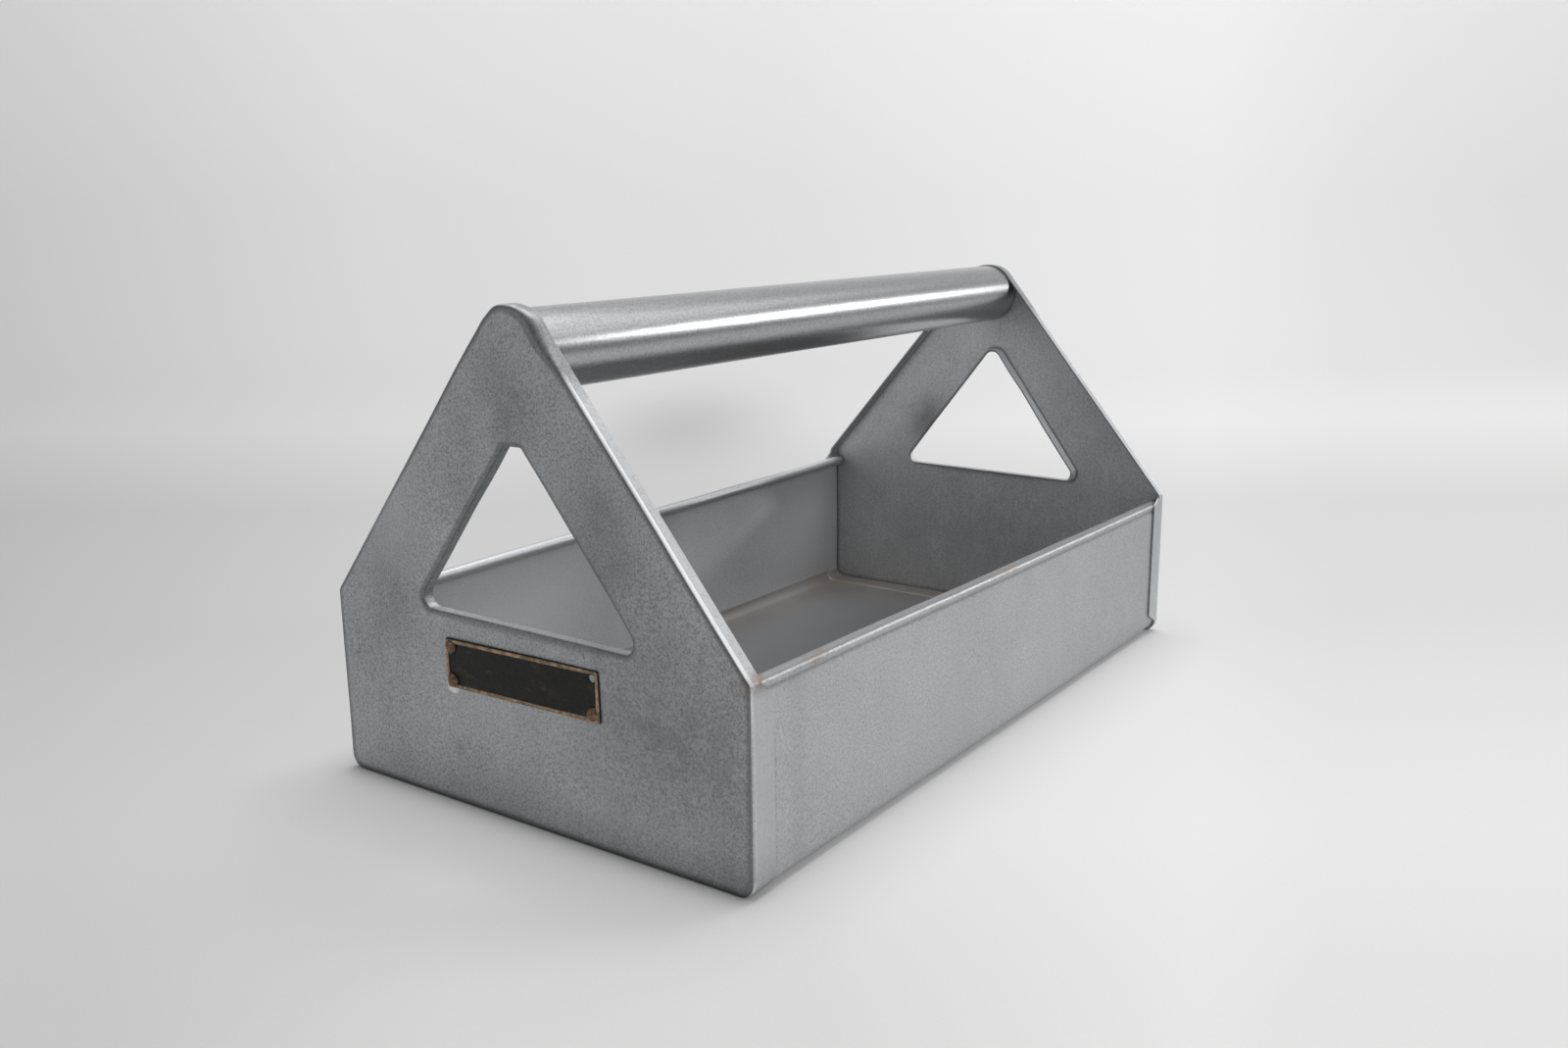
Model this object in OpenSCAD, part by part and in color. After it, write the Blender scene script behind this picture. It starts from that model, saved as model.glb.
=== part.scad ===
// Open tool tray with two folded end panels, triangular hand holes and a fixed tube handle.
// X runs along the tray, Y across it and Z up. The origin is under the middle of the outer box.

/* [Overall] */
// Length over the faces of the two end panels
overall_l = 350; // [260:5:450]
// Width over the folded sides of the end panels
panel_w = 198; // [150:2:260]
// Height at which the upright sides turn into the slopes
shoulder_h = 71; // [50:1:95]
// Height of the middle of the handle tube
handle_h = 169; // [150:1:210]

/* [Sheet metal] */
// Thickness of every sheet
sheet_t = 0.8; // [0.6:0.1:1.2]
// Outside radius of the folds round the end panels and the hand holes
fold_r = 1.7; // [1.5:0.1:2.4]
// Radius of the lower corners of an end panel
foot_corner_r = 6; // [4:0.5:10]
// Radius of the shoulders of an end panel
shoulder_r = 3.4; // [3.2:0.2:6]
// Depth of the flanges on the upright sides and the bottom
side_flange_d = 12; // [10:0.5:16]
// Depth of the flange along the slopes and over the peak
slope_flange_d = 6; // [4:0.5:8]
// Depth of the flange left round the lower corners
foot_flange_d = 4; // [3:0.5:6]
// Length over which the upright and bottom flanges widen beside a lower corner
mitre_h = 4; // [2:0.5:10]
// Length over which an upright flange narrows below the shoulder
shoulder_cut_h = 4; // [2:0.5:8]
// Extra radius that lifts the bends of the tray off the corners of the end panels
bend_ease = 1; // [0.5:0.1:2]

/* [Rim] */
// Height of the top of the curled rims
rim_h = 71.5; // [50:0.5:72]
// Diameter of the stiffening wire in each rim
wire_d = 3; // [2.4:0.1:4]
// Clearance round the wire
wire_gap = 0.25; // [0.15:0.05:0.4]
// Gap left between the end of the curl and the wall
curl_gap = 0.5; // [0.3:0.1:1]

/* [Hand holes] */
// Height of the lower edge of the holes
sill_h = 73.5; // [60:0.5:85]
// Width of the bands of sheet between a hole and the slopes
band_w = 32.5; // [24:0.5:38]
// Radius of the lower corners of a hole
hole_corner_r = 5; // [3:0.5:8]
// Radius of the upper corner of a hole
hole_top_r = 7; // [4:0.5:9]
// Depth of the lip folded inward round a hole
lip_d = 4.5; // [3:0.5:6]

/* [Handle] */
// Outside diameter of the handle tube
tube_d = 28.6; // [22:0.2:34]
// Wall of the handle tube
tube_wall = 1.2; // [1:0.1:2]
// Clearance between the tube and the flange over the peak
tube_gap = 0.3; // [0.2:0.1:0.5]

/* [Label plate] */
// Length of the plate
label_l = 75; // [50:1:90]
// Height of the plate
label_h = 18; // [14:0.5:22]
// Thickness of the plate inside its border
label_t = 0.6; // [0.4:0.1:1]
// Height of the border above the field
border_h = 0.4; // [0.2:0.1:0.8]
// Width of the border
border_w = 1.3; // [0.8:0.1:2]
// Radius of the corners of the plate
label_corner_r = 1; // [0.5:0.1:2]
// Gap between the top of the plate and the lower edge of the hand hole
label_drop = 9; // [6:0.5:16]

/* [Rivets] */
// Diameter of the holes for the rivets
rivet_hole_d = 2.9; // [2.4:0.1:3.4]
// Clearance round the shank of a rivet
rivet_gap = 0.1; // [0.05:0.05:0.2]
// Diameter of the head
head_d = 4.5; // [4:0.1:5]
// Height of the head
head_h = 1.2; // [0.8:0.1:1.6]
// Diameter of the closed end inside the panel
tail_d = 4.2; // [3.8:0.1:5]
// Height of the closed end
tail_h = 0.9; // [0.6:0.1:1.4]
// Distance from the middle of a rivet to the end of the plate
rivet_inset_x = 3.2; // [2.8:0.1:5]
// Distance from the middle of a rivet to the long edge of the plate
rivet_inset_z = 2.8; // [2.6:0.1:4]

/* [Hidden] */

$fn = 64;
// Length by which every cut runs past the solid that it cuts
overrun = 1;
// Angle between the stations of a folded edge round an arc, and steps across the fold
station_angle = 6;
fold_steps = 5;
// Width of face that a folded edge carries, which joins it to the rest of the face
face_lap = sheet_t / 2;

// Radius of the inner face of a fold
inner_fold_r = fold_r - sheet_t;
// Outer radius of an end panel over the handle tube
peak_r = tube_d / 2 + tube_gap + sheet_t;

// Corners of an end panel as [across, up, radius], anticlockwise from the lower right
panel_arcs = [
    [panel_w / 2 - foot_corner_r, foot_corner_r, foot_corner_r],
    [panel_w / 2 - shoulder_r, shoulder_h, shoulder_r],
    [0, handle_h, peak_r],
    [shoulder_r - panel_w / 2, shoulder_h, shoulder_r],
    [foot_corner_r - panel_w / 2, foot_corner_r, foot_corner_r],
];

// Direction square to a slope, and the distance of the hole's side from the origin along it
slope_angle = normal_angle(panel_arcs[1], panel_arcs[2]);
hole_side = handle_h * sin(slope_angle) + peak_r - band_w;
hole_corner_x = (hole_side - hole_corner_r - (sill_h + hole_corner_r) * sin(slope_angle)) / cos(slope_angle);

// Corners of a hand hole in the same form
hole_arcs = [
    [hole_corner_x, sill_h + hole_corner_r, hole_corner_r],
    [0, (hole_side - hole_top_r) / sin(slope_angle), hole_top_r],
    [-hole_corner_x, sill_h + hole_corner_r, hole_corner_r],
];

// The tray stands on the bottom flanges and fits between the upright ones
tray_w = panel_w - 2 * sheet_t;
tray_l = overall_l - 2 * fold_r;
floor_z = sheet_t;
bend_r = foot_corner_r - sheet_t + bend_ease;

// Curled rim
bead_r = wire_d / 2 + wire_gap + sheet_t;
bead_y = tray_w / 2 - bead_r;
bead_z = rim_h - bead_r;

// The ends of the tube are bevelled to clear the fold behind the peak
tube_bevel = inner_fold_r - tube_gap;
tube_l = overall_l - 2 * sheet_t;

// Label plate on the front panel
label_z = sill_h - label_drop - label_h / 2;
border_t = label_t + border_h;
rivet_x = label_l / 2 - rivet_inset_x;
rivet_z = label_h / 2 - rivet_inset_z;
shank_d = rivet_hole_d - 2 * rivet_gap;
// Places of the rivets as signs across and up; the plate's fourth hole stays empty
rivet_signs = [[1, 1], [1, -1], [-1, -1]];
hole_signs = [[1, 1], [1, -1], [-1, -1], [-1, 1]];

// Half of what the rivets stand proud, which centres the outer box on the origin
proud_shift = (label_t + head_h) / 2;

// Turns a shape drawn across and up, and raised from the paper, so that it is raised along X
module along_x() {
    rotate([90, 0, 90]) children();
}

// Puts a shape that starts at X = 0 and grows towards +X at the front of the tray
module at_front() {
    translate([proud_shift - overall_l / 2, 0, 0]) children();
}

// The same at the rear, growing towards -X
module at_rear() {
    translate([proud_shift + overall_l / 2, 0, 0]) mirror([1, 0, 0]) children();
}

// Angle of the outward normal of the line that touches two arcs of an anticlockwise outline
function normal_angle(a, b) =
    atan2(b.y - a.y, b.x - a.x) - acos((a.z - b.z) / norm([b.x - a.x, b.y - a.y]));

// Arcs of the same outline moved outward by a distance
function grown(arcs, by) = [for (a = arcs) [a.x, a.y, a.z + by]];

function next_arc(arcs, i) = arcs[(i + 1) % len(arcs)];
function last_arc(arcs, i) = arcs[(i + len(arcs) - 1) % len(arcs)];

// Point where the line at an angle touches an arc
function touch(a, angle) = [a.x + a.z * cos(angle), a.y + a.z * sin(angle)];

function touch_points(arcs) = [
    for (i = [0:len(arcs) - 1])
        let (angle = normal_angle(arcs[i], next_arc(arcs, i)))
            each [touch(arcs[i], angle), touch(next_arc(arcs, i), angle)]
];

// Flat outline made of arcs joined by the lines that touch them
module outline(arcs) {
    polygon(touch_points(arcs));
    for (a = arcs)
        translate([a.x, a.y]) circle(r = a.z);
}

// Stations of a sweep round one arc, as [across, up, angle of the normal, depth of the flange]
function arc_stations(arcs, i, depth) =
    let (
        a = arcs[i],
        from_angle = normal_angle(last_arc(arcs, i), a),
        sweep = (normal_angle(a, next_arc(arcs, i)) - from_angle + 360) % 360,
        steps = ceil(sweep / station_angle)
    )
        [for (k = [0:steps]) let (w = from_angle + sweep * k / steps) [each touch(a, w), w, depth]];

// Length of the straight stretch after an arc
function run(arcs, i) =
    let (w = normal_angle(arcs[i], next_arc(arcs, i)))
        norm(touch(next_arc(arcs, i), w) - touch(arcs[i], w));

// Station on that stretch, at a distance from its start
function line_station(arcs, i, along, depth) =
    let (w = normal_angle(arcs[i], next_arc(arcs, i)), start = touch(arcs[i], w))
        [start.x - along * sin(w), start.y + along * cos(w), w, depth];

// The flange is deep on the upright sides and the bottom, and narrows beside each corner
function panel_stations() = concat(
    arc_stations(panel_arcs, 0, foot_flange_d),
    [line_station(panel_arcs, 0, mitre_h, side_flange_d)],
    [line_station(panel_arcs, 0, run(panel_arcs, 0) - shoulder_cut_h, side_flange_d)],
    arc_stations(panel_arcs, 1, slope_flange_d),
    arc_stations(panel_arcs, 2, slope_flange_d),
    arc_stations(panel_arcs, 3, slope_flange_d),
    [line_station(panel_arcs, 3, shoulder_cut_h, side_flange_d)],
    [line_station(panel_arcs, 3, run(panel_arcs, 3) - mitre_h, side_flange_d)],
    arc_stations(panel_arcs, 4, foot_flange_d),
    [line_station(panel_arcs, 4, mitre_h, side_flange_d)],
    [line_station(panel_arcs, 4, run(panel_arcs, 4) - mitre_h, side_flange_d)]
);

function hole_stations() = [for (i = [0:len(hole_arcs) - 1]) each arc_stations(hole_arcs, i, lip_d)];

// Point on a quarter of a fold, from the face at 0 to the flange at 1
function fold_point(r, share) = [r * sin(90 * share) - fold_r, fold_r - r * cos(90 * share)];

// Section of a folded edge as distance outward and height, from the face to the flange
function fold_section(depth) = [
    for (k = [0:fold_steps]) fold_point(fold_r, k / fold_steps),
    [0, depth],
    [-sheet_t, depth],
    for (k = [fold_steps:-1:0]) fold_point(inner_fold_r, k / fold_steps),
    [-fold_r - face_lap, sheet_t],
    [-fold_r - face_lap, 0],
];

// Folded edge swept along its stations; side is 1 round a panel and -1 round a hole
module folded_edge(stations, side) {
    count = len(fold_section(fold_r));
    points = [
        for (s = stations, q = fold_section(s[3]))
            [s.x + side * q.x * cos(s[2]), s.y + side * q.x * sin(s[2]), q.y]
    ];
    faces = [
        for (k = [0:len(stations) - 1], j = [0:count - 1])
            let (
                this_row = k * count,
                next_row = (k + 1) % len(stations) * count,
                m = (j + 1) % count,
                quad = [this_row + j, this_row + m, next_row + m, next_row + j]
            )
                side > 0 ? quad : [quad[3], quad[2], quad[1], quad[0]]
    ];
    polyhedron(points, faces);
}

// End panel, drawn face down with its flanges upward
module panel_sheet() {
    linear_extrude(sheet_t) difference() {
        outline(grown(panel_arcs, -fold_r - face_lap / 2));
        outline(grown(hole_arcs, fold_r + face_lap / 2));
    }
    folded_edge(panel_stations(), 1);
    folded_edge(hole_stations(), -1);
}

// Places one shape at each rivet, with the plate's outer face towards -Z
module at_rivets(signs) {
    for (s = signs)
        translate([s.x * rivet_x, label_z + s.y * rivet_z, 0]) children();
}

// Half of the tray's section, from the middle of the floor to the curled rim
module half_section() {
    translate([0, floor_z]) square([tray_w / 2 - bend_r, sheet_t]);
    translate([tray_w / 2 - sheet_t, floor_z + bend_r])
        square([sheet_t, bead_z - floor_z - bend_r]);
    intersection() {
        translate([tray_w / 2 - bend_r, floor_z]) square([bend_r, bend_r]);
        translate([tray_w / 2 - bend_r, floor_z + bend_r]) difference() {
            circle(r = bend_r);
            circle(r = bend_r - sheet_t);
        }
    }
    difference() {
        translate([bead_y, bead_z]) circle(r = bead_r);
        translate([bead_y, bead_z]) circle(r = bead_r - sheet_t);
        translate([tray_w / 2 - sheet_t - curl_gap, bead_z - 2 * bead_r])
            square([sheet_t + curl_gap + overrun, 2 * bead_r]);
    }
}

module tray() {
    color("#969b9d")
        translate([proud_shift - tray_l / 2, 0, 0]) along_x() linear_extrude(tray_l) {
            half_section();
            mirror([1, 0]) half_section();
        }
}

module front_end_panel() {
    color("#83878a") at_front() along_x() difference() {
        panel_sheet();
        at_rivets(rivet_signs) translate([0, 0, -overrun])
            cylinder(d = rivet_hole_d, h = sheet_t + 2 * overrun);
    }
}

module rear_end_panel() {
    color("#83878a") at_rear() along_x() panel_sheet();
}

module handle_tube() {
    color("#a9adaf") at_front() along_x() translate([0, handle_h, sheet_t]) rotate_extrude() polygon([
        [tube_d / 2 - tube_wall, 0],
        [tube_d / 2 - tube_bevel, 0],
        [tube_d / 2, tube_bevel],
        [tube_d / 2, tube_l - tube_bevel],
        [tube_d / 2 - tube_bevel, tube_l],
        [tube_d / 2 - tube_wall, tube_l],
    ]);
}

module rim_wire() {
    color("#8d8f90") translate([proud_shift - tray_l / 2, 0, 0]) along_x()
        translate([bead_y, bead_z, 0]) cylinder(d = wire_d, h = tray_l);
}

module left_rim_wire() {
    rim_wire();
}

module right_rim_wire() {
    mirror([0, 1, 0]) rim_wire();
}

// Outline of the label plate with its rounded corners, anticlockwise from the lower right
label_arcs = [
    for (s = [[1, -1], [1, 1], [-1, 1], [-1, -1]]) [
        s.x * (label_l / 2 - label_corner_r),
        s.y * (label_h / 2 - label_corner_r),
        label_corner_r,
    ]
];

module label_plate() {
    color("#5d4a35") at_front() along_x() difference() {
        translate([0, label_z, -border_t]) linear_extrude(border_t) outline(label_arcs);
        translate([0, label_z, -border_t - overrun])
            linear_extrude(border_h + overrun)
                square([label_l - 2 * border_w, label_h - 2 * border_w], center = true);
        at_rivets(hole_signs) translate([0, 0, -border_t - overrun])
            cylinder(d = rivet_hole_d, h = border_t + 2 * overrun);
    }
}

// Domed rivet through the plate and the panel, closed inside the panel
module rivet() {
    dome_r = (head_d * head_d / 4 + head_h * head_h) / (2 * head_h);
    translate([0, 0, -label_t]) intersection() {
        translate([0, 0, dome_r - head_h]) sphere(r = dome_r);
        translate([0, 0, -head_h]) cylinder(d = head_d, h = head_h);
    }
    translate([0, 0, -label_t]) cylinder(d = shank_d, h = label_t + sheet_t);
    translate([0, 0, sheet_t]) cylinder(d = tail_d, h = tail_h);
}

module label_rivets() {
    color("#6e5636") at_front() along_x() at_rivets(rivet_signs) rivet();
}

tray();
front_end_panel();
rear_end_panel();
handle_tube();
left_rim_wire();
right_rim_wire();
label_plate();
label_rivets();
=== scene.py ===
"""Open toolbox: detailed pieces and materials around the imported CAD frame, with its studio."""

import math

import bmesh
import bpy
import numpy as np
from mathutils import Matrix, Vector, noise


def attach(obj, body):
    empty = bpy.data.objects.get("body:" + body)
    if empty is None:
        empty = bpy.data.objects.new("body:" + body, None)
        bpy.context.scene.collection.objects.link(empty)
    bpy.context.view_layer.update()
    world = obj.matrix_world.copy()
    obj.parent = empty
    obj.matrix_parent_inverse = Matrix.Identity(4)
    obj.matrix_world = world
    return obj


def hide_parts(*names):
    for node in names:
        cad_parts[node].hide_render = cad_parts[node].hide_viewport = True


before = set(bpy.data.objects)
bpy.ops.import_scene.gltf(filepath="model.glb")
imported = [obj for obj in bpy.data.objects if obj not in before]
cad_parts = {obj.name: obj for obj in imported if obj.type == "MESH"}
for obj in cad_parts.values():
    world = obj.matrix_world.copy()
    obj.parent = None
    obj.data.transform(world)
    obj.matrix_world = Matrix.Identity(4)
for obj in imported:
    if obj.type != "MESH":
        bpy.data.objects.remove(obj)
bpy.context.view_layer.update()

MM = 0.001
scene = bpy.context.scene

# Sizes in millimetres, as in the CAD source
OVERALL_L = 350.0
PANEL_W = 198.0
SHEET = 0.8
FOLD_R = 1.7
SIDE_FLANGE = 12.0
SLOPE_FLANGE = 6.0
FOOT_FLANGE = 4.0
FOOT_R = 6.0
SHOULDER_R = 3.4
LIP = 4.5
TUBE_D = 28.6
TUBE_WALL = 1.2
TUBE_FIT = 0.3
PROUD = 0.9
FRONT_X = PROUD - OVERALL_L / 2
REAR_X = PROUD + OVERALL_L / 2
PEAK_R = TUBE_D / 2 + TUBE_FIT + SHEET
BEAD_R = 2.55
WIRE_R = 1.5
WIRE_SIDES = 24
WALL_Y = PANEL_W / 2 - SHEET
FLOOR_Z = SHEET
BEND_R = 6.2

# Geometry helpers


def wave(x, y, z, size, seed):
    """Smooth noise from -1 to 1 with features of about size millimetres."""
    return noise.noise(Vector((x / size + seed * 7.3, y / size - seed * 3.1, z / size + seed * 1.7)))


def bump(y, z, cy, cz, ry, rz):
    """Soft round bump from 0 to 1 about a centre."""
    return math.exp(-(((y - cy) / ry) ** 2) - ((z - cz) / rz) ** 2)


def ramp(x, a, b):
    """From a to b while x goes from 0 to 1."""
    return a + (b - a) * min(max(x, 0.0), 1.0)


def circle(count):
    """Cosine and sine of evenly spaced directions, once round."""
    angles = [2 * math.pi * k / count for k in range(count)]
    return [(math.cos(a), math.sin(a)) for a in angles]


def new_object(name, verts, faces, sharp=38.0):
    """Smooth mesh object from points in millimetres, with edges beyond a number of degrees kept sharp."""
    mesh = bpy.data.meshes.new(name)
    mesh.from_pydata([tuple(float(c) * MM for c in v) for v in verts], [], faces)
    mesh.validate()
    mesh.update()
    mesh.polygons.foreach_set("use_smooth", [True] * len(mesh.polygons))
    mesh.set_sharp_from_angle(angle=math.radians(sharp))
    obj = bpy.data.objects.new(name, mesh)
    scene.collection.objects.link(obj)
    return obj


def weld(obj):
    """Join the points that coincide at the poles of a round piece."""
    shape = bmesh.new()
    shape.from_mesh(obj.data)
    bmesh.ops.remove_doubles(shape, verts=shape.verts, dist=0.001 * MM)
    shape.to_mesh(obj.data)
    shape.free()
    return obj


def finish_piece(obj, slot, material, *nodes):
    """Put a piece on the part's one body, in place of its CAD node if it has one, with its material."""
    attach(obj, "root")
    if nodes:
        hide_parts(*nodes)
    obj.data.materials.clear()
    obj.data.materials.append(material)


def grid_faces(rows, cols, wrap_rows=False, wrap_cols=False, flip=False):
    """Quads of a grid of rows x cols points, stored row by row."""
    faces = []
    for i in range(rows if wrap_rows else rows - 1):
        for j in range(cols if wrap_cols else cols - 1):
            a = i * cols + j
            b = i * cols + (j + 1) % cols
            c = (i + 1) % rows * cols + (j + 1) % cols
            d = (i + 1) % rows * cols + j
            faces.append((a, d, c, b) if flip else (a, b, c, d))
    return faces


def thick_sheet(outer, wrap_rows, thickness, flip):
    """Closed sheet from a grid of points of its outer skin: the inner skin lies one thickness behind it."""
    rows, cols = outer.shape[:2]
    if wrap_rows:
        along = np.roll(outer, -1, 0) - np.roll(outer, 1, 0)
    else:
        along = np.gradient(outer, axis=0)
    across = np.gradient(outer, axis=1)
    normal = np.cross(along, across)
    normal /= np.maximum(np.linalg.norm(normal, axis=2, keepdims=True), 1e-9)
    if flip:
        normal = -normal
    inner = outer - normal * thickness
    verts = np.concatenate([outer.reshape(-1, 3), inner.reshape(-1, 3)])
    n = rows * cols
    skin = grid_faces(rows, cols, wrap_rows=wrap_rows, flip=not flip)
    faces = skin + [tuple(n + v for v in reversed(face)) for face in skin]
    rims = []
    for i in range(rows if wrap_rows else rows - 1):
        start, end = i * cols, (i + 1) % rows * cols
        rims += [(start, end, True), (start + cols - 1, end + cols - 1, False)]
    if not wrap_rows:
        last = (rows - 1) * cols
        for j in range(cols - 1):
            rims += [(j, j + 1, False), (last + j, last + j + 1, True)]
    for a, b, turn in rims:
        quad = (a, b, n + b, n + a)
        faces.append(tuple(reversed(quad)) if turn != flip else quad)
    return verts, faces


# Rounded outlines

OUTLINE_STEPS = 48
ANGLE_MARKS = 2881


def normal_angle(a, b):
    """Direction of the outward normal on the line that touches two arcs."""
    d = math.hypot(b[0] - a[0], b[1] - a[1])
    return math.atan2(b[1] - a[1], b[0] - a[0]) - math.acos((a[2] - b[2]) / d)


def on_arc(arc, angle):
    """Point on an arc, with its outward normal."""
    c, s = math.cos(angle), math.sin(angle)
    return arc[0] + arc[2] * c, arc[1] + arc[2] * s, c, s


class Outline:
    """Anticlockwise outline of arcs (across, up, radius) joined by the lines that touch them.

    A point holds its place, its outward normal, its segment (a whole number on an arc, a half more on the
    line after it), how far along that line it lies, and the segment's length.
    """

    def __init__(self, arcs, arc_step, line_step):
        points, weights = [], []
        for i, arc in enumerate(arcs):
            after = arcs[(i + 1) % len(arcs)]
            start, end = normal_angle(arcs[i - 1], arc), normal_angle(arc, after)
            sweep = (end - start) % (2 * math.pi)
            for k in range(OUTLINE_STEPS):
                turned = start + sweep * k / OUTLINE_STEPS
                points.append((*on_arc(arc, turned), i, 0.0, arc[2] * sweep))
                weights.append(arc[2] * sweep / OUTLINE_STEPS / arc_step)
            p, q = on_arc(arc, end), on_arc(after, end)
            length = math.hypot(q[0] - p[0], q[1] - p[1])
            for k in range(OUTLINE_STEPS):
                t = k / OUTLINE_STEPS
                points.append((*(a + (b - a) * t for a, b in zip(p, q)), i + 0.5, length * t, length))
                weights.append(length / OUTLINE_STEPS / line_step)
        self.points = np.array(points)
        self.weights = np.array(weights)

    def about(self, centre):
        """Angle of each point about a centre, rising along the outline."""
        angle = np.unwrap(np.arctan2(self.points[:, 1] - centre[1], self.points[:, 0] - centre[0]))
        angle -= 2 * math.pi * math.floor((angle[0] + math.pi) / (2 * math.pi))
        return angle

    def at(self, centre, angles):
        """Point, normal and segment at each angle about a centre."""
        own = self.about(centre)
        table = np.concatenate([self.points, self.points[:1]])
        own = np.append(own, own[0] + 2 * math.pi)
        turn = own[0] + (angles - own[0]) % (2 * math.pi)
        place = np.clip(np.searchsorted(own, turn, side="right") - 1, 0, len(own) - 2)
        share = (turn - own[place]) / (own[place + 1] - own[place])
        a, b = table[place], table[place + 1]
        out = a + (b - a) * share[:, None]
        out[:, 4] = a[:, 4]
        same = a[:, 4] == b[:, 4]
        out[:, 5] = np.where(same, out[:, 5], a[:, 5] + (a[:, 6] - a[:, 5]) * share)
        out[:, 6] = a[:, 6]
        out[:, 2:4] /= np.linalg.norm(out[:, 2:4], axis=1)[:, None]
        return out


def shared_angles(outer, hole, centre, count):
    """Angles about the centre that both outlines share, closest together where either one bends."""
    marks = np.linspace(0, 2 * math.pi, ANGLE_MARKS)
    total = np.zeros_like(marks)
    for outline in (outer, hole):
        own = outline.about(centre)
        edges = np.append(own, own[0] + 2 * math.pi)
        assert np.diff(edges).min() > 0, "the centre doesn't see the whole outline"
        running = np.concatenate([[0], np.cumsum(outline.weights)])
        turned = own[0] + (marks[:-1] - own[0]) % (2 * math.pi)
        jump = np.diff(np.interp(turned, edges, running))
        jump[jump < -running[-1] / 2] += running[-1]
        total[1:-1] += np.cumsum(jump)
        total[-1] += running[-1]
    return np.interp(np.arange(count) / count * total[-1], total, marks)


# End panels

# How finely a panel is divided; the spacings are for arcs and for lines
PANEL_CENTRE = (0.0, 98.0)
PANEL_STEPS = 620
OUTER_SPACING, HOLE_SPACING = (0.5, 3.5), (0.4, 3.0)
FACE_RINGS = 30
FOLD_STEPS = 7
QUARTER = [math.pi / 2 * k / FOLD_STEPS for k in range(FOLD_STEPS + 1)]
LIP_RINGS = (0, 0.2, 1, 2, 3, 3.8)
LIP_PARTS = 4

# Folds, tighter than in the solids, and how far the dents fade towards the flange and the ground
SIDE_FOLD_R = 1.15
LIP_FOLD_R = 1.1
LIP_WAVE = 0.5
FLANGE_TURN = 4.0
DENT_FADE, GROUND_FADE = 8.0, 14.0

# Bands round a fold in radians: painted shade beside the face, then a painted highlight
FOLD_SHADE_TO, FOLD_HIGHLIGHT_FROM, FOLD_HIGHLIGHT_TO = 0.7, 0.8, 1.5

# Segments of a panel's outline: foot corners, sides, and the slopes with the shoulders and the peak
FOOT_CORNERS = (0, 4)
SIDES = (0.5, 3.5)
FOOT = 4.5
SLOPES = (1, 1.5, 2, 2.5, 3)

# Marks for the material: how much painted shade a point has, how much painted highlight, and whether it is
# flange or floor
# Painted shade for a lip's free edge and for the lip's fold
PAINTED_SHADE_EDGE = (0.95, 0, 0)
PAINTED_SHADE_FOLD = (0.9, 0, 0)
PLAIN = (0, 0, 0)


def flange_depth(segment, along, length, down, wrapped):
    """Depth of the flange on the outline: deep on the sides and the foot, narrow beside each corner.

    down is how far the outline faces the ground; a wrapped flange stays deep on its way round a foot corner.
    """
    low = SIDE_FLANGE if wrapped else FOOT_FLANGE
    ends = {SIDES[0]: (low, SLOPE_FLANGE), SIDES[1]: (SLOPE_FLANGE, low), FOOT: (FOOT_FLANGE, FOOT_FLANGE)}
    if segment in FOOT_CORNERS:
        return FOOT_FLANGE + (SIDE_FLANGE - FOOT_FLANGE) * (1 - down ** 3) * wrapped
    if segment in SLOPES:
        return SLOPE_FLANGE
    start, end = ends[segment]
    from_start = ramp(along / FLANGE_TURN, start, SIDE_FLANGE)
    return min(from_start, ramp((length - along) / FLANGE_TURN, end, SIDE_FLANGE))


def panel_dent(y, z, seed):
    """How far the hand-worked face stands out of its plane, in millimetres."""
    d = 0.45 * wave(y, z, 0, 58, seed) + 0.16 * wave(y, z, 5, 24, seed + 3)
    return d + 0.025 * wave(y, z, 9, 9, seed + 5)


def swell(degrees, middle, width):
    """Soft rise from 0 to 1 round one direction from the panel's centre."""
    return math.exp(-((((degrees - middle + 180) % 360 - 180) / width) ** 2))


def paint(obj, outer_marks, inner_marks):
    """Give a sheet's two skins their marks, which the material reads."""
    for index, name in enumerate(("fold", "edge", "flange")):
        values = [float(mark[index]) for mark in outer_marks + inner_marks]
        obj.data.attributes.new(name, "FLOAT", "POINT").data.foreach_set("value", values)


def lip_line(place, normal, lip, lean, mark, edge_mark):
    """Lip of the hand hole at one angle, from its free edge to the face, as (across, up, depth, mark)."""
    (hy, hz), (ny, nz) = place, normal
    line = []
    for k in LIP_RINGS:
        rise = (lip - LIP_FOLD_R) * (1 - k / LIP_PARTS)
        y, z = hy - ny * lean * rise, hz - nz * lean * rise
        line.append((y, z, LIP_FOLD_R + rise, mark if k else edge_mark))
    for a in reversed(QUARTER):
        u = LIP_FOLD_R * (1 - math.sin(a))
        line.append((hy + ny * u, hz + nz * u, LIP_FOLD_R * (1 - math.cos(a)), PAINTED_SHADE_FOLD))
    return line


def fold_shade_at(degrees):
    """How much painted shade the outer fold and its flange get, which also takes away their painted
    highlight; most of it lies over the peak.
    """
    return min(1.0, swell(degrees, 102, 12) * 1.6 + swell(degrees, 73, 8) * 1.4)


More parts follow.
